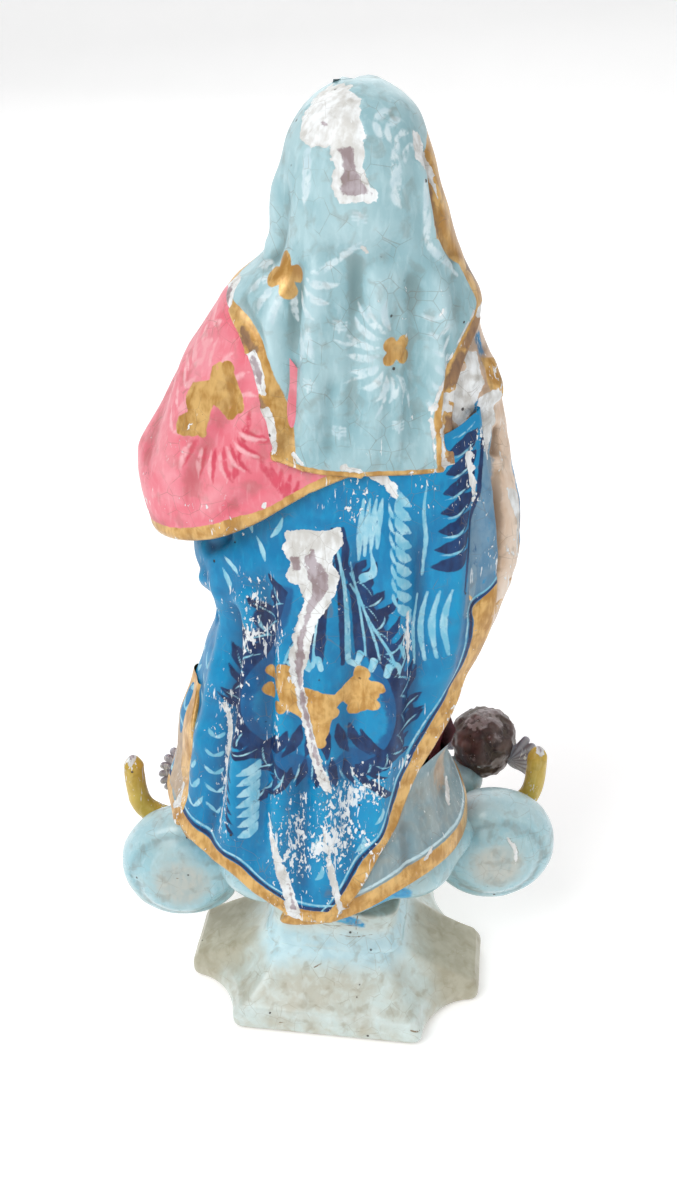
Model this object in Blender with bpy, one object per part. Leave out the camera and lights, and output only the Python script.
"""Carved and painted madonna statue on a notched pedestal, as the blocks it is glued up from.

Metres, +Z up. The origin is the middle of the pedestal's underside. The figure looks along -Y,
so its back is +Y and its left arm is +X. The cloud, moon and figure share one axis, turned a few
degrees on the pedestal, as they are on the real piece.
"""

import math

import bmesh
import bpy
import numpy as np
from mathutils import Vector

MM = 0.001
GAP = 0.35 * MM  # between glued faces, so that neighbouring solids stay clear of each other
FIGURE_TURN = math.radians(9)

# Pedestal
PLINTH_HALF_WIDTH = 71 * MM
PLINTH_HALF_DEPTH = 50 * MM
PLINTH_TOP = 36 * MM
NOTCH_WIDTH = 26 * MM
NOTCH_DEPTH = 30 * MM
EDGE_HEIGHT = 12 * MM
NECK_TOP = 56 * MM

# Cloud, moon and cherubs
CLOUD_TOP = 91.6 * MM
SCROLL_RADIUS = 29.5 * MM
SCROLL_HALF_THICKNESS = 18 * MM
SCROLL_FLAT = 50 * MM  # distance of the scrolls' glued faces from the figure's axis
CLOUD_FRONT_Y = -20.6 * MM  # the core's flat front face, which the moon lies against
CLOUD_SANDWICH = 9.5  # reach back, in mm, of the front cloud block to the moon's face
MOON_HALF_WIDTH = 97 * MM
MOON_HALF_HEIGHT = 38 * MM
MOON_CENTRE_Z = 105 * MM
MOON_TIP_Z = 113 * MM
MOON_POWER = 4.0  # how squarely the crescent turns up into its horns; 2 is an ellipse
MOON_BACK_Y = -21 * MM
MOON_THICKNESS = 9 * MM
MOON_HALF_BAND = 9.5 * MM  # half the crescent's width at its middle
HORN_HALF_BAND = 4.5 * MM  # and at its horns
MOON_STEPS = 27
MOON_DOWEL_X = 30 * MM
CHERUB_RADIUS = 15.5
WING_REACH = 29.5 * MM
WING_LIFT = 13 * MM

# Figure
HEM_Z = 92 * MM
WAIST_Z = 232 * MM
NECK_BASE_Z = 352 * MM
SHOULDER_Z = 302 * MM
FACE_Z = 383 * MM
HEAD_X = -7 * MM
FIGURE_PEG_X = 4 * MM
MANTLE_THICKNESS = 4 * MM
VEIL_THICKNESS = 6.5 * MM

DOWEL_RADIUS = 3 * MM
PEG_RADIUS = 5 * MM

# The body's outline at each height, in mm: height, reach to its left, right, back and front.
BODY = [
    (92, 76, 55, 54, 50),
    (105, 79, 53, 53, 49),
    (120, 76, 45, 51, 47),
    (135, 70, 43, 50, 46),
    (150, 65, 47, 48, 44),
    (165, 61, 54, 46, 43),
    (180, 56, 57, 45, 41),
    (195, 53, 57, 43, 39),
    (210, 48, 54, 41, 37),
    (232, 45, 45, 37, 33),
    (260, 42, 42, 35, 31),
    (290, 42, 43, 33, 31),
    (320, 42, 45, 30, 30),
    (338, 39, 45, 26, 25),
    (348, 33, 41, 22, 21),
    (352, 24, 34, 19, 17),
]
# The teardrop of her left sleeve: height, centre across, half width, reach back and front.
LEFT_SLEEVE = [
    (342, 35, 8, 12, 10),
    (330, 38, 15, 18, 15),
    (312, 44, 22, 23, 20),
    (292, 50, 25, 28, 25),
    (275, 53, 27, 30, 28),
    (260, 52, 25, 30, 28),
    (248, 50, 20, 27, 24),
    (239, 46, 12, 21, 16),
]
# Her right arm under the mantle, down to where the cloth falls free.
RIGHT_ARM = [
    (344, -40, 10, 13, 11),
    (330, -42, 14, 18, 15),
    (312, -45, 20, 22, 20),
    (290, -47, 22, 27, 25),
    (270, -50, 25, 30, 28),
    (252, -52, 25, 31, 28),
    (236, -53, 24, 30, 25),
    (220, -54, 18, 26, 20),
    (204, -56, 12, 20, 14),
    (192, -56, 5, 12, 7),
]
HOOD = [
    (352.4, 30, 36, 25, 20),
    (362, 31, 36, 28, 22),
    (375, 31, 32, 30, 24),
    (388, 29, 29, 30, 25),
    (400, 26, 25, 27, 23),
    (408, 22, 21, 23, 20),
    (414, 16, 15, 17, 15),
    (420, 5, 5, 5, 5),
]
HEAD = [
    (352.4, 11, 11, 10, 10),
    (364, 11, 11, 10, 11),
    (369, 13, 13, 12, 19),
    (378, 17, 17, 16, 21),
    (390, 19, 19, 19, 22),
    (400, 18, 18, 19, 20),
    (408, 13, 13, 14, 15),
    (412, 5, 5, 6, 6),
]

# The finishes: colour, roughness and metallic.
COLOURS = {
    "pedestal_paint": ((0.52, 0.60, 0.56), 0.45, 0.0),
    "cloud_paint": ((0.40, 0.56, 0.60), 0.4, 0.0),
    "moon_paint": ((0.50, 0.38, 0.07), 0.4, 0.0),
    "veil_paint": ((0.33, 0.49, 0.53), 0.4, 0.0),
    "mantle_paint": ((0.015, 0.28, 0.55), 0.35, 0.0),
    "tunic_paint": ((0.74, 0.19, 0.24), 0.4, 0.0),
    "skin_paint": ((0.72, 0.45, 0.33), 0.4, 0.0),
    "hair_paint": ((0.09, 0.05, 0.03), 0.45, 0.0),
    "bare_wood": ((0.47, 0.32, 0.19), 0.6, 0.0),
}


def material(name):
    """The painted finish of that name, made once."""
    found = bpy.data.materials.get(name)
    if found:
        return found
    colour, roughness, metallic = COLOURS[name]
    made = bpy.data.materials.new(name)
    made.use_nodes = True
    shader = made.node_tree.nodes["Principled BSDF"]
    shader.inputs["Base Color"].default_value = (*colour, 1)
    shader.inputs["Roughness"].default_value = roughness
    shader.inputs["Metallic"].default_value = metallic
    made.diffuse_color = (*colour, 1)
    return made


def add_object(name, mesh, finish, parent=None, cutter=False):
    """Puts a mesh in the scene as a named block, or as a hidden cutter."""
    made = bpy.data.objects.new(name, mesh)
    bpy.context.scene.collection.objects.link(made)
    made.parent = parent
    if cutter:
        made.hide_render = True
        made.display_type = "WIRE"
        return made
    mesh.materials.append(material(finish))
    mesh.shade_smooth()
    mesh.set_sharp_from_angle(angle=math.radians(40))
    return made


def stacked_mesh(name, rings):
    """A closed mesh through rings of the same number of points, given from bottom to top."""
    shape = bmesh.new()
    rows = [[shape.verts.new(point) for point in ring] for ring in rings]
    count = len(rows[0])
    shape.faces.new(reversed(rows[0]))
    shape.faces.new(rows[-1])
    for lower, upper in zip(rows, rows[1:]):
        for i in range(count):
            j = (i + 1) % count
            shape.faces.new((lower[i], lower[j], upper[j], upper[i]))
    bmesh.ops.recalc_face_normals(shape, faces=shape.faces)
    mesh = bpy.data.meshes.new(name)
    shape.to_mesh(mesh)
    shape.free()
    return mesh


def cut(block, *cutters):
    """Takes each cutter's shape out of the block."""
    for cutter in cutters:
        step = block.modifiers.new(f"cut_{cutter.name}", "BOOLEAN")
        step.operation = "DIFFERENCE"
        step.solver = "EXACT"
        step.object = cutter


def smooth_table(table, height):
    """The table's row at a height, on a smooth curve through its rows."""
    rows = np.array(sorted(table), float)
    levels = rows[:, 0]
    i = int(np.clip(np.searchsorted(levels, height) - 1, 0, len(levels) - 2))
    t = float(np.clip((height - levels[i]) / (levels[i + 1] - levels[i]), 0, 1))
    before = rows[max(i - 1, 0), 1:]
    start, end = rows[i, 1:], rows[i + 1, 1:]
    after = rows[min(i + 2, len(rows) - 1), 1:]
    bend = (
        2 * start
        + (end - before) * t
        + (2 * before - 5 * start + 4 * end - after) * t**2
        + (3 * start - before - 3 * end + after) * t**3
    )
    return 0.5 * bend


def egg_radius(angle, left, right, back, front, power=2.2):
    """Reach of a rounded outline at an angle, which runs from the back towards the left."""
    across, along = math.sin(angle), math.cos(angle)
    wide = left if across > 0 else right
    deep = back if along > 0 else front
    total = abs(across / wide) ** power + abs(along / deep) ** power
    return total ** (-1 / power)


def body_point(angle, height_mm, offset, power=2.2):
    """A point at that offset outside the body's outline."""
    left, right, back, front = smooth_table(BODY, height_mm)
    reach = egg_radius(angle, left, right, back, front, power) * MM + offset
    return (reach * math.sin(angle), reach * math.cos(angle), height_mm * MM)


def body_mesh(name, low_mm, high_mm, rows, points=36, offset=0.0):
    """The body's own outline between two heights."""
    rings = []
    for height in np.linspace(low_mm, high_mm, rows):
        angles = np.linspace(0, math.tau, points, endpoint=False)
        rings.append([body_point(-a, height, offset) for a in angles])
    return stacked_mesh(name, rings)


def round_stack(name, table, centre=(0, 0), points=28, offset=0.0, power=2.1):
    """Rings about one centre from a table of height and reach left, right, back and front."""
    rings = []
    for height, left, right, back, front in table:
        ring = []
        for a in np.linspace(0, math.tau, points, endpoint=False):
            reach = egg_radius(-a, left, right, back, front, power) * MM + offset
            ring.append(
                (
                    centre[0] - reach * math.sin(a),
                    centre[1] + reach * math.cos(a),
                    height * MM,
                )
            )
        rings.append(ring)
    low, high = rings[0][0][2], rings[-1][0][2]
    rings[0] = [(x, y, low - offset) for x, y, _ in rings[0]]
    rings[-1] = [(x, y, high + offset) for x, y, _ in rings[-1]]
    if low > high:
        rings.reverse()
    return stacked_mesh(name, rings)


def arm_mesh(name, table, points=24, offset=0.0):
    """A hanging sleeve from a table of height, centre, half width and reach back and front."""
    rings = []
    for height, across, half, back, front in sorted(table):
        ring = []
        for a in np.linspace(0, math.tau, points, endpoint=False):
            reach = egg_radius(-a, half, half, back, front, 2.3) * MM + offset
            ring.append(
                (across * MM - reach * math.sin(a), reach * math.cos(a), height * MM)
            )
        rings.append(ring)
    return stacked_mesh(name, rings)


def garment_mesh(name, side_angles, edges, inner, outer, across=22, down=14):
    """Cloth of one thickness over the body, as a closed solid.

    side_angles gives the two side edges in degrees at each share of the way down, and edges gives
    the top and bottom heights in mm at each share of the way across.
    """
    grid = {}
    for layer, offset in (("inner", inner), ("outer", outer)):
        for i in range(across + 1):
            for j in range(down + 1):
                s, t = i / across, j / down
                first, last = side_angles(t)
                top, bottom = edges(s)
                angle = math.radians(first + s * (last - first))
                grid[layer, i, j] = body_point(angle, top + t * (bottom - top), offset)
    shape = bmesh.new()
    vert = {key: shape.verts.new(point) for key, point in grid.items()}
    for i in range(across):
        for j in range(down):
            for layer in ("inner", "outer"):
                corners = [(i, j), (i + 1, j), (i + 1, j + 1), (i, j + 1)]
                face = [vert[layer, *corner] for corner in corners]
                shape.faces.new(face if layer == "outer" else reversed(face))
    rim = [(i, 0) for i in range(across)]
    rim += [(across, j) for j in range(down)]
    rim += [(i, down) for i in range(across, 0, -1)]
    rim += [(0, j) for j in range(down, 0, -1)]
    for k, here in enumerate(rim):
        there = rim[(k + 1) % len(rim)]
        shape.faces.new(
            (
                vert["outer", *there],
                vert["outer", *here],
                vert["inner", *here],
                vert["inner", *there],
            )
        )
    bmesh.ops.recalc_face_normals(shape, faces=shape.faces)
    mesh = bpy.data.meshes.new(name)
    shape.to_mesh(mesh)
    shape.free()
    return mesh


def rod_mesh(name, start, end, radius, end_radius=None, sides=12):
    """A round rod, or a tapered one, between two points."""
    start, end = Vector(start), Vector(end)
    way = (end - start).normalized()
    side = way.orthogonal().normalized()
    other = way.cross(side)
    rings = []
    for centre, reach in ((start, radius), (end, end_radius or radius)):
        turn = [math.tau * k / sides for k in range(sides)]
        rings.append(
            [centre + reach * (side * math.cos(a) + other * math.sin(a)) for a in turn]
        )
    return stacked_mesh(name, rings)


def room_around(block, margin=0.7 * MM):
    """A cutter a little bigger than a block all round, for the seat of the block beside it."""
    name = f"{block.name}_room"
    shape = bmesh.new()
    shape.from_mesh(block.data)
    shape.normal_update()
    moves = [(vert, vert.normal * margin) for vert in shape.verts]
    for vert, move in moves:
        vert.co += move
    mesh = bpy.data.meshes.new(name)
    shape.to_mesh(mesh)
    shape.free()
    return add_object(name, mesh, None, block.parent, cutter=True)


def dowel(name, start, end, radius, parent, blocks):
    """A wooden dowel, and its hole in each of the blocks that it holds together."""
    start, end = Vector(start), Vector(end)
    way = (end - start).normalized()
    peg = add_object(name, rod_mesh(name, start, end, radius), "bare_wood", parent)
    hole = rod_mesh(
        f"{name}_hole", start - way * GAP, end + way * GAP, radius + GAP
    )
    hole_object = add_object(f"{name}_hole", hole, None, parent, cutter=True)
    for block in blocks:
        cut(block, hole_object)
    return peg


def notched_outline(half_width, half_depth, notch_width, notch_depth, arc_points=5):
    """A rectangle whose four corners are scooped out by quarter ellipses."""
    outline = []
    for corner in range(4):
        sx = 1 if corner in (0, 3) else -1
        sy = 1 if corner in (0, 1) else -1
        arc = []
        for a in np.linspace(0, math.pi / 2, arc_points):
            arc.append(
                (
                    sx * (half_width - notch_width * math.sin(a)),
                    sy * (half_depth - notch_depth * math.cos(a)),
                )
            )
        outline += arc if corner in (0, 2) else arc[::-1]
    return outline


def build_pedestal():
    """The plinth with scooped corners and the neck block on it."""
    steps = [  # height, share of the way in to the neck, share of the notch left
        (0, 0.02, 1.0),
        (0.15 * EDGE_HEIGHT, 0.0, 1.0),
        (EDGE_HEIGHT, 0.03, 1.0),
        (EDGE_HEIGHT + 4 * MM, 0.28, 0.92),
        (EDGE_HEIGHT + 9 * MM, 0.54, 0.8),
        (EDGE_HEIGHT + 16 * MM, 0.80, 0.66),
        (PLINTH_TOP, 1.0, 0.55),
    ]
    neck_half_width, neck_half_depth = 33 * MM, 27 * MM
    rings = []
    for height, inward, notch in steps:
        half_width = PLINTH_HALF_WIDTH + inward * (neck_half_width - PLINTH_HALF_WIDTH)
        half_depth = PLINTH_HALF_DEPTH + inward * (neck_half_depth - PLINTH_HALF_DEPTH)
        scale = notch * (1 - 0.45 * inward)
        outline = notched_outline(
            half_width, half_depth, NOTCH_WIDTH * scale, NOTCH_DEPTH * scale
        )
        rings.append([(x, y, height) for x, y in outline])
    plinth = add_object("plinth", stacked_mesh("plinth", rings), "pedestal_paint")
    neck_rows = [
        ((PLINTH_TOP + GAP) / MM, 30, 30, 24, 24),
        (42, 29, 29, 23, 23),
        (50, 28, 28, 22.5, 22.5),
        (NECK_TOP / MM, 29, 29, 24, 24),
    ]
    neck_mesh = round_stack("pedestal_neck", neck_rows, power=5)
    neck = add_object("pedestal_neck", neck_mesh, "pedestal_paint")
    return plinth, neck


def build_cloud(axis, plinth, neck):
    """The cloud's core, its two scrolls and the pegs that hold them."""
    core_rows = [
        ((NECK_TOP + GAP) / MM, 36, 36, 27, -CLOUD_FRONT_Y / MM),
        (62, 45, 45, 31, -CLOUD_FRONT_Y / MM),
        (70, 49, 49, 34, -CLOUD_FRONT_Y / MM),
        (80, 49, 49, 36, -CLOUD_FRONT_Y / MM),
        (CLOUD_TOP / MM, 44, 42, 34, -CLOUD_FRONT_Y / MM),
    ]
    core = add_object(
        "cloud_core", round_stack("cloud_core", core_rows, power=2.8), "cloud_paint", axis
    )
    dowel("central_peg", (0, 0, 20 * MM), (0, 0, 76 * MM), PEG_RADIUS, None, [plinth, neck, core])
    front_rows = [
        (60, 30, 34, CLOUD_SANDWICH, 8),
        (68, 52, 60, CLOUD_SANDWICH, 12),
        (78, 64, 69, CLOUD_SANDWICH, 14),
        (86, 63, 70, CLOUD_SANDWICH, 12),
        (91, 56, 64, CLOUD_SANDWICH, 8),
    ]
    front_mesh = round_stack("cloud_front", front_rows, (-2 * MM, -40 * MM), 32, power=2.8)
    front = add_object("cloud_front", front_mesh, "cloud_paint", axis)
    blocks = []
    scrolls = {
        "left": Vector((74 * MM, -4 * MM, 66 * MM)),
        "right": Vector((-74 * MM, -4 * MM, 72.5 * MM)),
    }
    for side, centre in scrolls.items():
        shape = bmesh.new()
        bmesh.ops.create_uvsphere(shape, u_segments=20, v_segments=12, radius=SCROLL_RADIUS)
        for vert in shape.verts:
            vert.co.y *= SCROLL_HALF_THICKNESS / SCROLL_RADIUS
            vert.co += centre
        outward = 1 if centre.x > 0 else -1
        flat = outward * (SCROLL_FLAT + GAP)
        halves = bmesh.ops.bisect_plane(
            shape,
            geom=shape.verts[:] + shape.edges[:] + shape.faces[:],
            plane_co=(flat, 0, 0),
            plane_no=(-outward, 0, 0),
            clear_outer=True,
        )
        rim = [e for e in halves["geom_cut"] if isinstance(e, bmesh.types.BMEdge)]
        bmesh.ops.contextual_create(shape, geom=rim)
        bmesh.ops.recalc_face_normals(shape, faces=shape.faces)
        mesh = bpy.data.meshes.new(f"cloud_scroll_{side}")
        shape.to_mesh(mesh)
        shape.free()
        scroll = add_object(f"cloud_scroll_{side}", mesh, "cloud_paint", axis)
        start = (outward * 38 * MM, centre.y, 70 * MM)
        end = (outward * 62 * MM, centre.y, 70 * MM)
        dowel(f"scroll_dowel_{side}", start, end, DOWEL_RADIUS, axis, [core, scroll])
        blocks.append(scroll)
    return core, front, blocks


def moon_height(x):
    """Height of the middle of the crescent's band at a distance across."""
    share = abs(x) / MOON_HALF_WIDTH
    return MOON_CENTRE_Z - MOON_HALF_HEIGHT * (1 - share**MOON_POWER) ** (1 / MOON_POWER)


def moon_line():
    """Points in x and z along the middle of the crescent's band, evenly spaced."""
    rise = (MOON_TIP_Z - MOON_CENTRE_Z) / MOON_HALF_HEIGHT
    past = math.asin(rise ** (MOON_POWER / 2))
    turn = np.linspace(-math.pi - past, past, 3000)
    across, up = np.cos(turn), np.sin(turn)
    x = MOON_HALF_WIDTH * np.sign(across) * np.abs(across) ** (2 / MOON_POWER)
    z = MOON_CENTRE_Z + MOON_HALF_HEIGHT * np.sign(up) * np.abs(up) ** (2 / MOON_POWER)
    length = np.concatenate([[0], np.cumsum(np.hypot(np.diff(x), np.diff(z)))])
    even = np.linspace(0, length[-1], MOON_STEPS)
    return np.column_stack([np.interp(even, length, x), np.interp(even, length, z)])


def moon_ring(point, outward, scale):
    """One ring of the crescent, across its band at a point of its middle line."""
    share = abs(point[0]) / MOON_HALF_WIDTH
    half = (MOON_HALF_BAND + (HORN_HALF_BAND - MOON_HALF_BAND) * share**3) * scale
    ring = []
    for b in np.linspace(0, math.tau, 10, endpoint=False):
        x, z = point + half * math.cos(b) * outward
        ring.append((x, MOON_BACK_Y - MOON_THICKNESS / 2 * (1 - scale * math.sin(b)), z))
    return ring


def build_moon(axis, core, front):
    """The crescent, horns up, trapped between the two cloud blocks and pinned by two dowels."""
    line = moon_line()
    ahead = np.gradient(line, axis=0)
    outward = np.column_stack([ahead[:, 1], -ahead[:, 0]])
    outward /= np.linalg.norm(outward, axis=1)[:, None]
    scales = [0.6] + [1.0] * (MOON_STEPS - 2) + [0.6]
    rings = [moon_ring(*row) for row in zip(line, outward, scales)]
    moon = add_object(
        "crescent_moon", stacked_mesh("crescent_moon", rings), "moon_paint", axis
    )
    for side, x in (("left", MOON_DOWEL_X), ("right", -MOON_DOWEL_X)):
        height = moon_height(x)
        start, end = (x, -12 * MM, height), (x, -40 * MM, height)
        dowel(f"moon_dowel_{side}", start, end, 2 * MM, axis, [core, moon, front])
    return moon


def build_cherub(axis, name, centre, turn, front):
    """A cherub's head with its two wings, pegged to the front cloud block."""
    table = [
        (-15, 5, 5, 5, 6),
        (-10, 12, 12, 11, 12),
        (-2, CHERUB_RADIUS, CHERUB_RADIUS, 15, 15),
        (7, 15, 15, 15, 13),
        (13, 10, 10, 10, 9),
        (16, 4, 4, 4, 4),
    ]
    place = bpy.data.objects.new(f"{name}_place", None)
    bpy.context.scene.collection.objects.link(place)
    place.parent = axis
    place.location = centre
    place.rotation_euler = (0, 0, turn)
    head = add_object(f"{name}_head", round_stack(name, table, points=20), "hair_paint", place)
    cut(front, room_around(head))
    for side, sign in (("left", 1), ("right", -1)):
        rings = []
        for share in np.linspace(0, 1, 6):
            root = (CHERUB_RADIUS + 1) * MM
            reach = sign * (root + (WING_REACH - root) * share)
            lift = -5 * MM + WING_LIFT * share**1.4
            half_height = (6.5 - 3.5 * share**2) * MM
            half_depth = (2.6 - 1.2 * share) * MM
            ring = []
            for b in np.linspace(0, math.tau, 10, endpoint=False):
                deep = (3 - 3 * share) * MM + half_depth * math.sin(b)
                ring.append((reach, deep, lift + half_height * math.cos(b)))
            rings.append(ring)
        wing_mesh = stacked_mesh(f"{name}_wing_{side}", rings)
        wing = add_object(f"{name}_wing_{side}", wing_mesh, "cloud_paint", place)
        cut(front, room_around(wing))
    centre = Vector(centre)
    start = Vector((centre.x * 0.82, -41 * MM, min(centre.z - 6 * MM, 76 * MM)))
    end = centre + (centre - start).normalized() * 2 * MM
    dowel(f"{name}_dowel", start, end, 2 * MM, axis, [front, head])


def build_figure(axis, core):
    """Skirt, torso, mantle, veil, head, arms and hands."""
    skirt = add_object(
        "skirt_block", body_mesh("skirt_block", HEM_Z / MM, (WAIST_Z - GAP) / MM, 13), "tunic_paint", axis
    )
    peg_start, peg_end = (FIGURE_PEG_X, 0, 79 * MM), (FIGURE_PEG_X, 0, 112 * MM)
    dowel("figure_peg", peg_start, peg_end, PEG_RADIUS, axis, [core, skirt])

    torso = add_object(
        "torso_block",
        body_mesh("torso_block", WAIST_Z / MM, NECK_BASE_Z / MM, 12),
        "tunic_paint",
        axis,
    )
    for side, x in (("left", 20 * MM), ("right", -20 * MM)):
        dowel(
            f"waist_dowel_{side}",
            (x, 0, WAIST_Z - 10 * MM),
            (x, 0, WAIST_Z + 10 * MM),
            DOWEL_RADIUS,
            axis,
            [skirt, torso],
        )

    def mantle_sides(t):
        right = -108 + 100 * t**2.1
        return right, 104

    def mantle_edges(s):
        top = 282 - 46 * max(0.0, (s - 0.42) / 0.58) ** 1.2
        return top, 92.5 + 6 * abs(s - 0.3)

    mantle = add_object(
        "mantle_back",
        garment_mesh("mantle_back", mantle_sides, mantle_edges, -MM, GAP + MANTLE_THICKNESS),
        "mantle_paint",
        axis,
    )

    def panel_sides(t):
        return -128 + 16 * t, -108 + 98 * (0.52 + 0.4 * t) ** 2.1 - 3

    panel = add_object(
        "mantle_lower_fold",
        garment_mesh(
            "mantle_lower_fold",
            panel_sides,
            lambda s: (146 - 10 * s, 94),
            -MM,
            GAP + 2.8 * MM,
            across=12,
            down=7,
        ),
        "veil_paint",
        axis,
    )

    def front_edges(s):
        return 232 + 26 * s, 186 + 44 * s**1.5

    front = add_object(
        "mantle_front_fold",
        garment_mesh(
            "mantle_front_fold",
            lambda t: (105 + 2 * t, 222 - 4 * t),
            front_edges,
            -MM,
            GAP + 6 * MM,
            across=18,
            down=6,
        ),
        "mantle_paint",
        axis,
    )

    def veil_sides(t):
        return -74 + 20 * t, 82 - 42 * t**0.8

    def veil_edges(s):
        return 351.5, 287 + 6 * s

    cape = add_object(
        "veil_cape",
        garment_mesh(
            "veil_cape", veil_sides, veil_edges, -MM, GAP + VEIL_THICKNESS, across=18, down=8
        ),
        "veil_paint",
        axis,
    )
    skirt_room, torso_room = room_around(skirt), room_around(torso)
    for cloth in (mantle, panel, front, cape):
        cut(cloth, skirt_room, torso_room)

    head_centre = (HEAD_X, 0)
    hood = add_object(
        "veil_hood", round_stack("veil_hood", HOOD, head_centre, points=28), "veil_paint", axis
    )
    head = add_object(
        "head", round_stack("head", HEAD, (HEAD_X, -2.5 * MM), points=24), "skin_paint", axis
    )
    head_room = add_object(
        "head_room",
        round_stack("head_room", HEAD, (HEAD_X, -2.5 * MM), points=24, offset=GAP),
        None,
        axis,
        cutter=True,
    )
    opening = rod_mesh(
        "face_opening", (HEAD_X, -60 * MM, FACE_Z), (HEAD_X, -6 * MM, FACE_Z), 21 * MM, 15 * MM, 20
    )
    opening_cutter = add_object("face_opening", opening, None, axis, cutter=True)
    throat_start, throat_end = (HEAD_X, -60 * MM, 362 * MM), (HEAD_X, -6 * MM, 362 * MM)
    throat = rod_mesh("throat_opening", throat_start, throat_end, 16 * MM, 13 * MM, 16)
    throat_cutter = add_object("throat_opening", throat, None, axis, cutter=True)
    cut(hood, head_room, opening_cutter, throat_cutter)
    dowel(
        "neck_dowel",
        (HEAD_X, -2 * MM, NECK_BASE_Z - 12 * MM),
        (HEAD_X, -2 * MM, NECK_BASE_Z + 14 * MM),
        PEG_RADIUS,
        axis,
        [torso, head],
    )
    rooms = [skirt_room, torso_room, room_around(mantle), room_around(cape, 1.1 * MM)]
    rooms.append(room_around(panel))
    return skirt, torso, rooms


def build_arms(axis, torso, rooms):
    """Both sleeves, the forearms that come out of them and the joined hands."""
    left = add_object(
        "left_sleeve", arm_mesh("left_sleeve", LEFT_SLEEVE), "tunic_paint", axis
    )
    right = add_object("right_sleeve", arm_mesh("right_sleeve", RIGHT_ARM), "mantle_paint", axis)
    for sleeve in (left, right):
        cut(sleeve, *rooms)
    for side, sleeve, sign in (("left", left, 1), ("right", right, -1)):
        dowel(
            f"shoulder_dowel_{side}",
            (sign * 32 * MM, 0, SHOULDER_Z),
            (sign * 54 * MM, 0, SHOULDER_Z),
            DOWEL_RADIUS,
            axis,
            [torso, sleeve],
        )
        start = Vector((sign * 48 * MM, -20 * MM, 271 * MM))
        end = Vector((sign * 8.4 * MM, -55 * MM, 301 * MM))
        arm = add_object(
            f"{side}_forearm",
            rod_mesh(f"{side}_forearm", start, end, 15 * MM, 8 * MM, 16),
            "tunic_paint",
            axis,
        )
        sleeve_table = LEFT_SLEEVE if sign > 0 else RIGHT_ARM
        sleeve_room = add_object(
            f"{side}_sleeve_room",
            arm_mesh(f"{side}_sleeve_room", sleeve_table, offset=GAP),
            None,
            axis,
            cutter=True,
        )
        cut(arm, sleeve_room, *rooms)
        hand_rows = [
            (-16, 5.0, 5.0, 6.5, 6.5),
            (-6, 6.0, 6.0, 8.5, 8.5),
            (4, 5.6, 5.6, 8.0, 8.0),
            (14, 4.4, 4.4, 6.5, 6.5),
            (20, 2.4, 2.4, 4.0, 4.0),
        ]
        hand = round_stack(f"{side}_hand", hand_rows, points=16)
        for vert in hand.vertices:
            vert.co.x = sign * (GAP / 2 + 3.7 * MM) + vert.co.x * 0.6
            vert.co.y += -60 * MM - vert.co.z * 0.25
            vert.co.z += 317 * MM
        hand_object = add_object(f"{side}_hand", hand, "skin_paint", axis)
        cut(arm, room_around(hand_object))
        dowel(
            f"wrist_dowel_{side}",
            (sign * 16 * MM, -48 * MM, 295.5 * MM),
            (sign * 4 * MM, -57.5 * MM, 306 * MM),
            1.4 * MM,
            axis,
            [arm, hand_object],
        )


def main():
    """Builds the whole statue."""
    for old in list(bpy.data.objects):
        bpy.data.objects.remove(old)
    axis = bpy.data.objects.new("figure_axis", None)
    bpy.context.scene.collection.objects.link(axis)
    axis.rotation_euler = (0, 0, FIGURE_TURN)
    plinth, neck = build_pedestal()
    core, front, scrolls = build_cloud(axis, plinth, neck)
    moon = build_moon(axis, core, front)
    moon_room = room_around(moon)
    cut(front, moon_room)
    build_cherub(axis, "cherub_right", (-75 * MM, -51 * MM, 96.5 * MM), math.radians(-28), front)
    build_cherub(axis, "cherub_centre", (-8 * MM, -57 * MM, 66 * MM), 0.0, front)
    build_cherub(axis, "cherub_left", (61 * MM, -56 * MM, 90 * MM), math.radians(26), front)
    skirt, torso, rooms = build_figure(axis, core)
    cut(skirt, moon_room)
    for scroll in scrolls:
        cut(scroll, moon_room, *rooms)
    build_arms(axis, torso, rooms)


main()
